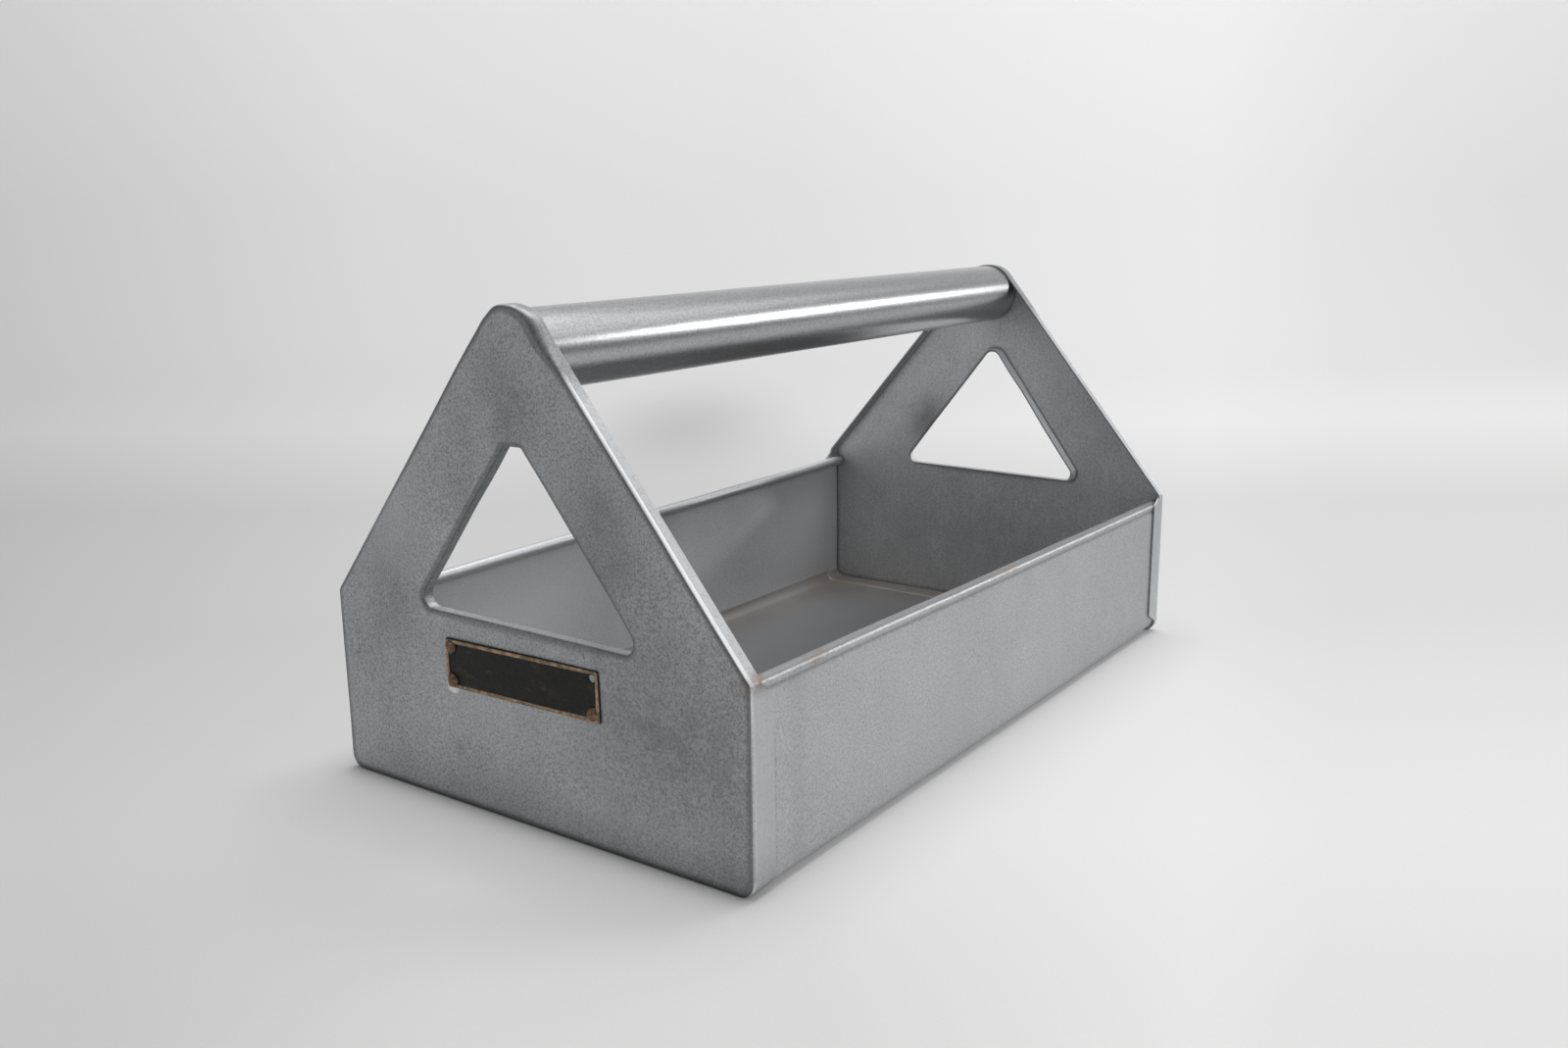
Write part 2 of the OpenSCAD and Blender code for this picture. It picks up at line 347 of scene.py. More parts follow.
def flange_line(place, normal, segment, fold_r, depth, fold_shade, rim_shade):
    """Outer fold and flange at one angle, from the face to the free edge, as (across, up, depth, mark)."""
    (oy, oz), (ny, nz) = place, normal
    line = []
    # Round the fold: painted shade beside the face and over the peak, a painted highlight on the band further
    # round; the foot's fold is all painted shade, a contact shadow
    for a in QUARTER:
        u = fold_r * (1 - math.sin(a))
        painted_shade, fold_highlight = fold_shade, 1.0 if FOLD_HIGHLIGHT_FROM < a < FOLD_HIGHLIGHT_TO else 0.0
        if segment in SIDES:
            fold_highlight *= 0.2 + 0.8 * bump(0, oz, 0, 72, 1, 14)
        if segment == FOOT:
            painted_shade, fold_highlight = 1.0, 0.0
        mark = (max(painted_shade, 1.0 if a < FOLD_SHADE_TO else 0.0), fold_highlight * (1 - painted_shade), 0)
        line.append((oy - ny * u, oz - nz * u, fold_r * (1 - math.cos(a)), mark))
    depth = max(depth, fold_r + 2.0)
    # A painted highlight on the first rows of a slope's flange, faint on the other flanges
    strip_highlight = (1 - fold_shade) * (1.0 if segment in SLOPES else 0.15)
    for v in (0.1, 0.65):
        line.append((oy, oz, fold_r + v, (0.8 * fold_shade, strip_highlight, 1 - fold_shade)))
    flat = depth - fold_r
    for v in (0.9, flat * 0.5, flat * 0.75, flat * 0.96):
        line.append((oy, oz, fold_r + v, (0.1 + 0.8 * fold_shade, 0, 1 - fold_shade)))
    # rim_shade paints shade on the flange's free edge
    line.append((oy, oz, depth, (rim_shade, 0, 1 - rim_shade)))
    return line


def end_panel(name, x_face, towards, seed, arcs, hole, hand, wrapped, lip_mark, lip_lean, rim_shade):
    """One end panel as a skin with its sheet thickness: lip, fold, face, fold and flange.

    hand holds the maker's hand as three functions: the outer fold's radius and how far the outline stands
    out, both by angle in degrees, and the dents of the face.
    """
    fold_at, shift_at, dents = hand
    outer = Outline(arcs, *OUTER_SPACING)
    inner = Outline(hole, *HOLE_SPACING)
    angles = shared_angles(outer, inner, PANEL_CENTRE, PANEL_STEPS)
    rows, marks = [], []
    for turn, o, h in zip(angles, outer.at(PANEL_CENTRE, angles), inner.at(PANEL_CENTRE, angles)):
        oy, oz, ny, nz, segment, along, length = o
        hy, hz, my, mz = h[:4]
        degrees = math.degrees(turn) % 360
        depth = flange_depth(segment, along, length, max(0.0, -nz), wrapped)
        fold_r, out = fold_at(degrees), shift_at(degrees)
        oy, oz = oy + ny * out, oz + nz * out
        lip = LIP + LIP_WAVE * wave(hy, hz, 0, 16, seed + 2)
        # A lip's free edge gets painted shade, but the rear hole's lower edge takes the lip's own mark
        edge_mark = lip_mark if towards < 0 and mz < -0.5 else PAINTED_SHADE_EDGE
        line = lip_line((hy, hz), (my, mz), lip, lip_lean, lip_mark, edge_mark)
        start_y, start_z = hy + my * LIP_FOLD_R, hz + mz * LIP_FOLD_R
        end_y, end_z = oy - ny * fold_r, oz - nz * fold_r
        for k in range(1, FACE_RINGS):
            t = k / FACE_RINGS
            line.append((start_y + (end_y - start_y) * t, start_z + (end_z - start_z) * t, 0.0, PLAIN))
        line += flange_line((oy, oz), (ny, nz), segment, fold_r, depth, fold_shade_at(degrees), rim_shade)
        row = []
        for y, z, v, mark in line:
            d = panel_dent(y, z, seed) + dents(y, z)
            d *= max(0.0, 1 - v / DENT_FADE) * min(1.0, z / GROUND_FADE)
            row.append((x_face + towards * (v - d), y, z))
            marks.append(mark)
        rows.append(row)
    verts, faces = thick_sheet(np.array(rows), True, SHEET, flip=towards < 0)
    panel = new_object(name, verts, faces, sharp=50)
    paint(panel, marks, marks)
    return panel


def panel_arcs(left, right, apex):
    """Corners from the left foot, towards +Y, over the peak to the right foot, by three of their heights."""
    half = PANEL_W / 2
    return [
        (half - FOOT_R, FOOT_R, FOOT_R),
        (half - SHOULDER_R, left, SHOULDER_R),
        (0.0, apex, PEAK_R),
        (SHOULDER_R - half, right, SHOULDER_R),
        (FOOT_R - half, FOOT_R, FOOT_R),
    ]


front_arcs = panel_arcs(71.7, 70.4, 168.8)
rear_arcs = panel_arcs(76.2, 70.7, 169.2)

# Corners of the hand holes, anticlockwise from the lower one towards +Y
front_hole = [(45.0, 77.9, 4.6), (3.4, 135.3, 1.6), (-3.4, 135.3, 1.6), (-47.4, 77.0, 4.2)]
rear_hole = [(43.0, 78.8, 3.9), (-3.4, 134.6, 5.6), (-47.0, 77.8, 4.1)]


def front_marks(y, z):
    """Dents of the front panel: a hammered peak, drawn-in corners of the hand hole and a dimple."""
    d = 0.6 * bump(y, z, 3, 163, 12, 9) - 0.5 * bump(y, z, 8, 148, 9, 9)
    d += 0.45 * wave(y, z, 2, 7, 9) * bump(y, z, 0, 178, 20, 10)
    d += 0.4 * bump(y, z, 50, 73, 13, 9) + 0.4 * bump(y, z, -54, 72, 13, 9)
    d += 0.16 * bump(y, z, 34.6, 22.0, 3.6, 3.6) - 0.26 * bump(y, z, 34.6, 22.0, 2.2, 2.2)
    return d


def rear_marks(y, z):
    """Dents of the rear panel: pushed in beside the hand hole's left edge and below the tube."""
    return -1.0 * bump(y, z, 40, 108, 12, 14) + 0.5 * bump(y, z, 12, 150, 14, 8)


def front_fold(degrees):
    """Tight fold all round, and a wide one beaten over the peak."""
    wide = SIDE_FOLD_R + 0.5 * swell(degrees, 45, 30)
    return wide + 2.6 * swell(degrees, 100, 8) + 0.9 * swell(degrees, 80, 7)


def rear_fold(degrees):
    """Tight fold all round, a little wider over the peak."""
    return SIDE_FOLD_R + 0.6 * swell(degrees, 90, 40)


def front_shift(degrees):
    """Flat facets that the hammer left on the peak."""
    return 0.35 * swell(degrees, 87, 2.2) + 0.75 * swell(degrees, 98, 3.5) - 0.25 * swell(degrees, 83.5, 1.5)


def rear_shift(degrees):
    """The one flat facet that shows on the rear peak."""
    return 0.3 * swell(degrees, 95, 3)


# The front lip gets a little painted shade, the rear lip a painted highlight on the tray's tone, and the rear
# flange's free edge painted shade
front_panel = end_panel(
    "end_panel_front", FRONT_X, 1, 1, front_arcs, front_hole, (front_fold, front_shift, front_marks),
    wrapped=True, lip_mark=(0.25, 0, 0), lip_lean=0.0, rim_shade=0.0,
)
rear_panel = end_panel(
    "end_panel_rear", REAR_X, -1, 4, rear_arcs, rear_hole, (rear_fold, rear_shift, rear_marks),
    wrapped=False, lip_mark=(0, 1, 1), lip_lean=0.3, rim_shade=1.0,
)


# Tray with curled rims

# Heights of the rims' middles at the front and the rear end
LEFT_RIM = (67.0, 71.1)
RIGHT_RIM = (70.1, 65.8)

# Where a curl's free end lies in degrees, the drop from its middle to the flat wall, and the fine division
CURL_START = 292
WALL_TOP = 3.2
CURL_STEPS, DOWN_STEPS, BEND_STEPS, FLOOR_STEPS, LENGTH_STEPS = 30, 15, 8, 28, 90

# The floor drops between the foot flanges and the walls swell beside the front flange, over a short run
FLOOR_DROP = 0.7
FLUSH = 0.65
FLUSH_LENGTH = 45.0
STEP_RUN = 1.4
FLOOR_UNEVEN, END_CALM = 0.35, 14.0


def rim_height(side, x):
    """Height of the middle of a rim's curl; side is 1 towards +Y. The rims were bent by hand."""
    front, rear = LEFT_RIM if side > 0 else RIGHT_RIM
    base = front + (rear - front) * (x - FRONT_X) / OVERALL_L
    return base + 0.35 * wave(x, side * 40, 0, 90, 11) + 0.12 * wave(x, side * 40, 3, 28, 12)


def wall_place(side, x):
    """How far out a wall's outer skin stands; the walls are bowed inwards here and there."""
    along = ramp((x - FRONT_X) / OVERALL_L, 0, math.pi)
    bow = 0.7 * wave(x, side * 50, 0, 130, 21) * math.sin(along)
    return WALL_Y - max(0.0, -bow) * 1.2


def curl_mark(side, turn):
    """Marks round a curl: painted shade on its top, a thin painted highlight, and painted shade on the left
    rim's inner side.
    """
    painted_shade = 1.2 if 36 < turn < 115 else 0.0
    if side > 0 and turn >= 115:
        painted_shade = 0.5 if turn < 185 else 0.9
    return (painted_shade, 0.4 if 14 < turn < 30 else 0.0, 0)


def half_section(side, x, ground, flush):
    """Outer skin of one side of the tray, from the curl's free end down to the floor."""
    bz = rim_height(side, x)
    wy = wall_place(side, x)
    by = wy - BEAD_R
    pts = []
    for k in range(CURL_STEPS):
        a = math.radians(CURL_START - CURL_START * k / (CURL_STEPS - 1))
        mark = curl_mark(side, math.degrees(a))
        pts.append((by + BEAD_R * math.cos(a), bz + BEAD_R * math.sin(a), mark))
    # The wall necks in a little under the curl, with a line of painted shade
    for drop, painted_shade in ((0.5, 0.2), (1.1, 0.8), (1.7, 0.8), (2.4, 0.1)):
        pts.append((wy - 0.3 * bump(0, drop, 0, 1.6, 1, 1.0), bz - drop, (painted_shade, 0, 0)))
    low = ground + BEND_R
    top = bz - WALL_TOP
    for k in range(DOWN_STEPS):
        t = k / DOWN_STEPS
        z = top + (low - top) * t
        hollow = 0.5 * wave(x, side * 60, z, 45, 23) * math.sin(math.pi * t)
        pts.append((wy - abs(hollow) * 0.8 + flush * min(3 * t, 1.0), z, PLAIN))
    for k in range(BEND_STEPS + 1):
        a = math.radians(90 * k / BEND_STEPS)
        w = wy + (WALL_Y - wy) * (k / BEND_STEPS) + flush
        pts.append((w - BEND_R + BEND_R * math.cos(a), low - BEND_R * math.sin(a), PLAIN))
    return pts


def tray_section(x):
    """Outer skin of the tray at one place along X, from the left curl's free end to the right one's."""
    inward = min(x - FRONT_X, REAR_X - x) - SIDE_FLANGE
    ground = FLOOR_Z - FLOOR_DROP * ramp(inward / STEP_RUN, 0, 1)
    past_front = max(x - FRONT_X - SIDE_FLANGE, 0.0)
    flush = ramp(past_front / STEP_RUN, 0, FLUSH) * math.exp(-past_front / FLUSH_LENGTH)
    left, right = half_section(1, x, ground, flush), half_section(-1, x, ground, flush)
    flat = WALL_Y - BEND_R
    floor = [(flat * (1 - 2 * k / FLOOR_STEPS), ground, PLAIN) for k in range(1, FLOOR_STEPS)]
    return left + floor + [(-y, z, mark) for y, z, mark in reversed(right)]


even = np.linspace(FRONT_X + FOLD_R + 0.1, REAR_X - FOLD_R - 0.1, LENGTH_STEPS)
beside = SIDE_FLANGE + np.array([0.1, 0.75, STEP_RUN])
xs = np.sort(np.concatenate([even, FRONT_X + beside, REAR_X - beside]))


def tray_piece():
    """The tray as one sheet; its floor is a little uneven, and its lower inside is marked as floor."""
    rows, skin_marks, inside_marks = [], [], []
    for x in xs:
        from_end = min(1.0, min(x - xs[0], xs[-1] - x) / END_CALM)
        row = []
        for y, z, mark in tray_section(x):
            skin_marks.append(mark)
            inside_marks.append((0, 0, 1.0 if z < FLOOR_Z + BEND_R * 0.8 else 0.0))
            if z < FLOOR_Z + 0.01 and abs(y) < WALL_Y - BEND_R - 1:
                z += FLOOR_UNEVEN * abs(wave(x, y, 0, 70, 31)) * from_end
            row.append((x, y, z))
        rows.append(row)
    verts, faces = thick_sheet(np.array(rows), False, SHEET, flip=False)
    obj = new_object("tray_body", verts, faces, sharp=50)
    paint(obj, skin_marks, inside_marks)
    return obj


def rim_wire(name, side):
    """The wire that one rim is curled over, as a round bar with flat ends."""
    pts = np.array([(x, side * (wall_place(side, x) - BEAD_R), rim_height(side, x)) for x in xs])
    verts = []
    for p, t in zip(pts, np.gradient(pts, axis=0)):
        t = t / np.linalg.norm(t)
        u = np.cross(t, (0, 0, 1.0))
        u /= np.linalg.norm(u)
        v = np.cross(u, t)
        verts += [p + WIRE_R * (u * c + v * s) for c, s in circle(WIRE_SIDES)]
    faces = grid_faces(len(pts), WIRE_SIDES, wrap_cols=True, flip=True)
    faces.append(tuple(range(WIRE_SIDES)))
    faces.append(tuple(reversed(range(len(verts) - WIRE_SIDES, len(verts)))))
    return new_object(name, verts, faces)


tray = tray_piece()
left_wire = rim_wire("rim_wire_left", 1)
right_wire = rim_wire("rim_wire_right", -1)


# Handle tube

# Height of the tube's axis at the front and the rear end, and how finely it is divided
TUBE_HEIGHT = (168.2, 169.8)
TUBE_SIDES, TUBE_RINGS, BORE_RINGS = 128, 70, 30


def handle_piece():
    """Tube with its wall, open at both ends, with rounded outer edges that fit behind the panels' folds."""
    r = TUBE_D / 2
    bore = r - TUBE_WALL
    x0, x1 = FRONT_X + SHEET, REAR_X - SHEET
    edge = 0.9
    end = [(0.0, bore), (0.0, r - 0.7), (0.35, r - 0.25), (edge, r)]
    profile = [(x0 + x, rr) for x, rr in end]
    profile += [(x0 + edge + (x1 - x0 - 2 * edge) * k / TUBE_RINGS, r) for k in range(1, TUBE_RINGS)]
    profile += [(x1 - x, rr) for x, rr in reversed(end)]
    profile += [(x1 - (x1 - x0) * k / BORE_RINGS, bore) for k in range(1, BORE_RINGS)]
    verts = []
    for c, s in circle(TUBE_SIDES):
        for x, rr in profile:
            height = TUBE_HEIGHT[0] + (TUBE_HEIGHT[1] - TUBE_HEIGHT[0]) * (x - x0) / (x1 - x0)
            rr += 0.02 * wave(x, 20 * c, 20 * s, 40, 41)
            verts.append((x, rr * c, height + rr * s))
    faces = grid_faces(TUBE_SIDES, len(profile), wrap_rows=True, wrap_cols=True, flip=True)
    return new_object("handle", verts, faces, sharp=35)


handle = handle_piece()


# Label plate and rivets

# The plate's middle on the front panel, its size, and the holes by their place from its middle
LABEL_Y, LABEL_Z = 1.0, 55.3
LABEL_TILT = math.radians(-0.9)
LABEL_HALF_W, LABEL_HALF_H = 37.5, 9.3
LABEL_COLUMNS, LABEL_ROWS = 301, 91
LABEL_SHEET = 0.55
LABEL_GAP = 0.02
LABEL_CORNER_R = 1.0
BORDER_W, BORDER_RISE, BORDER_START = 1.8, 0.45, 0.05
EDGE_ROUND = 0.35
HOLE_R = 1.45
SINK_W, SINK_DEPTH = 0.95, 0.18
SNAP = 0.13
RIVET_PLACES = [(34.3, 6.2), (34.3, -6.2), (-34.3, -6.2)]
LABEL_HOLES = RIVET_PLACES + [(-34.3, 6.2)]


def on_label(y, z, x):
    """Place on the tilted label plate, from its middle; x is how far in front of the panel."""
    c, s = math.cos(LABEL_TILT), math.sin(LABEL_TILT)
    return (FRONT_X - x, LABEL_Y + y * c - z * s, LABEL_Z + y * s + z * c)


def label_height(y, z):
    """Thickness of the plate: bare field, rounded raised border, and a sink round each hole."""
    ey, ez = LABEL_HALF_W - abs(y), LABEL_HALF_H - abs(z)
    e = min(ey, ez)
    if ey < LABEL_CORNER_R and ez < LABEL_CORNER_R:
        e = LABEL_CORNER_R - math.hypot(LABEL_CORNER_R - ey, LABEL_CORNER_R - ez)
    e = max(e, 0.0)
    h = LABEL_SHEET
    if e < BORDER_W:
        share = min(1.0, (e + BORDER_START) / (BORDER_W + BORDER_START))
        h += BORDER_RISE * math.sin(math.pi * share) ** 0.6
        h -= EDGE_ROUND * max(0.0, 1 - e / EDGE_ROUND) ** 2
    h += 0.05 * wave(y, z, 0, 2.6, 51) + 0.03 * wave(y, z, 0, 0.9, 52)
    for hy, hz in LABEL_HOLES:
        d = math.hypot(y - hy, z - hz)
        if HOLE_R < d < HOLE_R + SINK_W:
            h -= SINK_DEPTH * (1 - (d - HOLE_R) / SINK_W)
    return h


def label_bend(y, z):
    """How far the plate is bent off the panel; most at its lower right corner."""
    return 0.12 * wave(y, z, 0, 30, 55) + 0.35 * bump(y, z, -37.5, -9, 9, 5)


def snapped(y, z):
    """Grid point, moved onto a hole's rim or a rounded corner where it is near one."""
    for hy, hz in LABEL_HOLES:
        d = math.hypot(y - hy, z - hz)
        if HOLE_R - SNAP < d < HOLE_R + SNAP:
            y, z = hy + (y - hy) / d * HOLE_R, hz + (z - hz) / d * HOLE_R
    middle_y, middle_z = LABEL_HALF_W - LABEL_CORNER_R, LABEL_HALF_H - LABEL_CORNER_R
    if abs(y) > middle_y and abs(z) > middle_z:
        cy, cz = math.copysign(middle_y, y), math.copysign(middle_z, z)
        d = math.hypot(y - cy, z - cz) / LABEL_CORNER_R
        if d > 1:
            y, z = cy + (y - cy) / d, cz + (z - cz) / d
    return y, z


def in_hole(y, z):
    """Whether a point lies inside one of the plate's holes."""
    return any(math.hypot(y - hy, z - hz) < HOLE_R - 0.02 for hy, hz in LABEL_HOLES)


def label_piece():
    """Plate with a raised border and four holes, as a fine field of heights over a back."""
    ys = np.linspace(-LABEL_HALF_W, LABEL_HALF_W, LABEL_COLUMNS)
    zs = np.linspace(-LABEL_HALF_H, LABEL_HALF_H, LABEL_ROWS)
    verts, index = [], {}
    quads, edges = [], {}

    def vert(key, place):
        if key not in index:
            index[key] = len(verts)
            verts.append(place)
        return index[key]

    for i in range(LABEL_COLUMNS - 1):
        for j in range(LABEL_ROWS - 1):
            corners = [(i, j), (i + 1, j), (i + 1, j + 1), (i, j + 1)]
            places = [snapped(ys[a], zs[b]) for a, b in corners]
            middle = (sum(p[0] for p in places) / 4, sum(p[1] for p in places) / 4)
            if any(in_hole(*p) for p in [middle] + places):
                continue
            top, back = [], []
            for c, (y, z) in zip(corners, places):
                bend = label_bend(y, z)
                top.append(vert((c, 1), on_label(y, z, label_height(y, z) + bend + LABEL_GAP)))
                back.append(vert((c, 0), on_label(y, z, bend + LABEL_GAP)))
            quads += [tuple(reversed(top)), tuple(back)]
            for k in range(4):
                m = (k + 1) % 4
                key = tuple(sorted((corners[k], corners[m])))
                edges.setdefault(key, []).append((top[k], top[m], back[m], back[k]))
    quads += [sides[0] for sides in edges.values() if len(sides) == 1]
    return new_object("label", verts, quads, sharp=45)


# A rivet's half profile as (radius, out of the panel), from its head to the closed end inside
RIVET_HEAD = [(0.0, 1.98), (0.6, 1.96), (1.15, 1.87), (1.65, 1.7), (2.1, 1.44), (2.42, 1.14), (2.56, 0.86)]
RIVET_SHANK = [(2.5, 0.68), (1.3, 0.66), (1.3, -0.86), (2.05, -0.88)]
RIVET_PROFILE = RIVET_HEAD + RIVET_SHANK + [(2.1, -1.1), (1.95, -1.5), (1.4, -1.66), (0.0, -1.7)]
RIVET_SIDES = 40


def rivets_piece():
    """Hammered rivet heads outside and their closed ends inside the panel."""
    verts, faces = [], []
    for n, (cy, cz) in enumerate(RIVET_PLACES):
        base = len(verts)
        for r, x in RIVET_PROFILE:
            for c, s in circle(RIVET_SIDES):
                y, z = r * c, r * s
                bumpy = 0.09 * wave(y, z, n * 9, 1.6, 61) if x > 0.7 else 0.05 * wave(y, z, n * 9, 2, 62)
                scale = 1 + 0.05 * wave(c * 3, s * 3, n * 5, 3, 63)
                verts.append(on_label(cy + y * scale, cz + z * scale, x + (bumpy if r < 2.2 else 0)))
        quads = grid_faces(len(RIVET_PROFILE), RIVET_SIDES, wrap_cols=True)
        faces += [tuple(base + v for v in q) for q in quads]
    return weld(new_object("rivets", verts, faces, sharp=60))


label = label_piece()
rivets = rivets_piece()


# Small traces of the maker's work

# A disc of solder on the front panel, and lumps of braze at the ends of the rims
SOLDER_Y, SOLDER_Z = 36.0, 46.3
SOLDER_R = 3.35
SOLDER_BACK = -0.3
SOLDER_SIDES, SOLDER_RINGS = 48, 6
BLOB_ROWS, BLOB_COLUMNS = 14, 24
BLOB_SIZE = (1.5, 2.4, 2.5)


def disc_mark():
    """Flat disc of solder that shows below the lower left rivet; its back lies in the panel."""
    shares = [k / SOLDER_RINGS for k in range(SOLDER_RINGS + 1)]
    profile = [(SOLDER_R * t, 0.55 - 0.5 * t ** 8) for t in shares]
    profile += [(SOLDER_R, SOLDER_BACK), (0.0, SOLDER_BACK)]
    verts = []
    for r, out in profile:
        for c, s in circle(SOLDER_SIDES):
            rr = r * (1 + 0.05 * wave(c * 2, s * 2, 0, 1.5, 71))
            y, z = rr * c, rr * s
            uneven = 0.02 * wave(y, z, 0, 1.2, 72)
            verts.append((FRONT_X - out - uneven, SOLDER_Y + y, SOLDER_Z + z))
    faces = grid_faces(len(profile), SOLDER_SIDES, wrap_cols=True)
    return weld(new_object("solder_disc", verts, faces, sharp=60))


def braze_blob(name, centre, seed):
    """Small lump of braze with an uneven surface."""
    verts = []
    for i in range(BLOB_ROWS):
        t = math.pi * i / (BLOB_ROWS - 1)
        for c, s in circle(BLOB_COLUMNS):
            n = Vector((math.sin(t) * c, math.sin(t) * s, math.cos(t)))
            coarse = noise.noise(n * 1.6 + Vector((seed, 0, 0)))
            fine = noise.noise(n * 4 + Vector((0, seed, 0)))
            reach = 1 + 0.35 * coarse + 0.12 * fine
            verts.append([middle + size * v * reach for middle, size, v in zip(centre, BLOB_SIZE, n)])
    faces = grid_faces(BLOB_ROWS, BLOB_COLUMNS, wrap_cols=True, flip=True)
    return weld(new_object(name, verts, faces, sharp=70))


solder = disc_mark()
braze = []
for name, x, side, seed in (
    ("braze_front_right", FRONT_X + 2.0, -1, 3),
    ("braze_front_left", FRONT_X + 2.0, 1, 5),
    ("braze_rear_right", REAR_X - 2.0, -1, 7),
    ("braze_rear_left", REAR_X - 2.0, 1, 9),
):
    braze.append(braze_blob(name, (x, side * (WALL_Y - BEAD_R), rim_height(side, x)), seed))


# Materials

SOFT_BASE = 2.718


class Nodes:
    """Short way to write a node tree."""

    def __init__(self, name):
        self.material = bpy.data.materials.new(name)
        self.material.use_nodes = True
        self.tree = self.material.node_tree
        self.tree.nodes.clear()
        self.out = self.new("OutputMaterial")

    def new(self, kind, **inputs):
        """New node with a value or a link for some of its inputs."""
        node = self.tree.nodes.new("ShaderNode" + kind)
        for key, value in inputs.items():
            self.set(node.inputs[key], value)
        return node

    def set(self, socket, value):
        if isinstance(value, bpy.types.NodeSocket):
            self.tree.links.new(value, socket)
        else:
            socket.default_value = value

    def math(self, operation, *values, clamp=False):
        node = self.new("Math")
        node.operation, node.use_clamp = operation, clamp
        for socket, value in zip(node.inputs, values):
            self.set(socket, value)
        return node.outputs[0]

    def add(self, a, b, clamp=False):
        return self.math("ADD", a, b, clamp=clamp)

    def sub(self, a, b, clamp=False):
        return self.math("SUBTRACT", a, b, clamp=clamp)

    def mul(self, a, b, clamp=False):
        return self.math("MULTIPLY", a, b, clamp=clamp)

    def div(self, a, b, clamp=False):
        return self.math("DIVIDE", a, b, clamp=clamp)

    def soft(self, offsets):
        """Soft round mask from 1 to 0, by how many radii off the middle each direction is."""
        total = self.mul(offsets[0], offsets[0])
        for off in offsets[1:]:
            total = self.add(total, self.mul(off, off))
        return self.math("POWER", SOFT_BASE, self.mul(total, -1.0))

    def noise(self, scale, detail, rough, stretch=(1, 1, 1), shift=(0, 0, 0)):
        """Noise in the object's own space, stretched along its axes and shifted."""
        spot = self.new("TexCoord").outputs["Object"]
        vector = self.new("Mapping", Vector=spot, Scale=stretch, Location=shift).outputs[0]
        node = self.new("TexNoise", Vector=vector, Scale=scale, Detail=detail, Roughness=rough)
        return node.outputs["Fac"]

    def ramp(self, fac, *stops):
        """Colours by a factor; a stop is a place with a colour or a grey."""
        node = self.new("ValToRGB", Fac=fac)
        elements = node.color_ramp.elements
        while len(elements) < len(stops):
            elements.new(0.5)
        for element, (place, colour) in zip(elements, stops):
            element.position = place
            if not isinstance(colour, tuple):
                colour = (colour, colour, colour)
            element.color = (*colour, 1)
        return node.outputs[0]

    def mix(self, fac, a, b, blend="MIX"):
        node = self.new("Mix")
        node.data_type = "RGBA"
        node.blend_type = blend
        self.set(node.inputs["Factor"], fac)
        for socket, value in ((node.inputs[6], a), (node.inputs[7], b)):
            if isinstance(value, tuple):
                value = (*value, 1)
            self.set(socket, value)
        return node.outputs[2]

    def tint(self, c, mask, amount, colour, clamp=False):
        """The colour c with some amount of another colour where the mask is."""
        return self.mix(self.mul(mask, amount, clamp=clamp), c, colour)

    def axis(self, index):
        """One coordinate of the object's own space, in metres."""
        return self.new("SeparateXYZ", Vector=self.new("TexCoord").outputs["Object"]).outputs[index]

    def mark(self, name):
        """One of the marks that paint() gave to the piece; 0 where it has none."""
        node = self.new("Attribute")
        node.attribute_name = name
        return node.outputs["Fac"]

    def finish(self, colour, metallic, rough, height, strength, distance, specular=0.5):
        """The material, with a fine relief from a height."""
        relief = self.new("Bump", Strength=strength, Distance=distance, Height=height).outputs[0]
        shader = self.new("BsdfPrincipled", Metallic=metallic, Roughness=rough, Normal=relief)
        self.set(shader.inputs["Base Color"], colour)
        self.set(shader.inputs["Specular IOR Level"], specular)
        self.set(self.out.inputs["Surface"], shader.outputs[0])
        return self.material


X, Y, Z = 0, 1, 2

# Colours of the metals, and where their masks begin, in millimetres
# The front panel's face is painted darker than its flanges, which take the tray's tone (painted shade); the
# rear panel is painted paler (painted light)
FRONT_SHADED_TONE = (0.478, 0.489, 0.5)
REAR_LIGHTENED_TONE = (0.64, 0.65, 0.662)
TRAY_TONE = (0.6, 0.612, 0.626)
# Painted shade of the tray's floor
FLOOR_SHADE_TONE = (0.122, 0.124, 0.127)
# Near-white and metalness of the painted highlights, with the flanges' metalness
PAINTED_HIGHLIGHT_TONE = (0.95, 0.96, 0.97)
PAINTED_HIGHLIGHT_METALLIC, FLANGE_METALLIC = 0.3, 0.5
# Colours of painted sheen and painted shade
PAINTED_SHEEN = (0.85, 0.87, 0.9)
SHADE = (0.02, 0.02, 0.02)
SHEET_ROUGH = 0.43
FLANGE_CALM = 1.4
OUTSIDE_Y = -96.8
RUBBED_RISE, RUBBED_GAIN = 0.72, 5200.0


def patch(n, axes, centre, radii):
    """Soft round mask about a place on the surface, in millimetres, from 1 in the middle to 0."""
    return n.soft([n.mul(n.sub(n.axis(i), c * MM), 1 / (r * MM)) for i, c, r in zip(axes, centre, radii)])


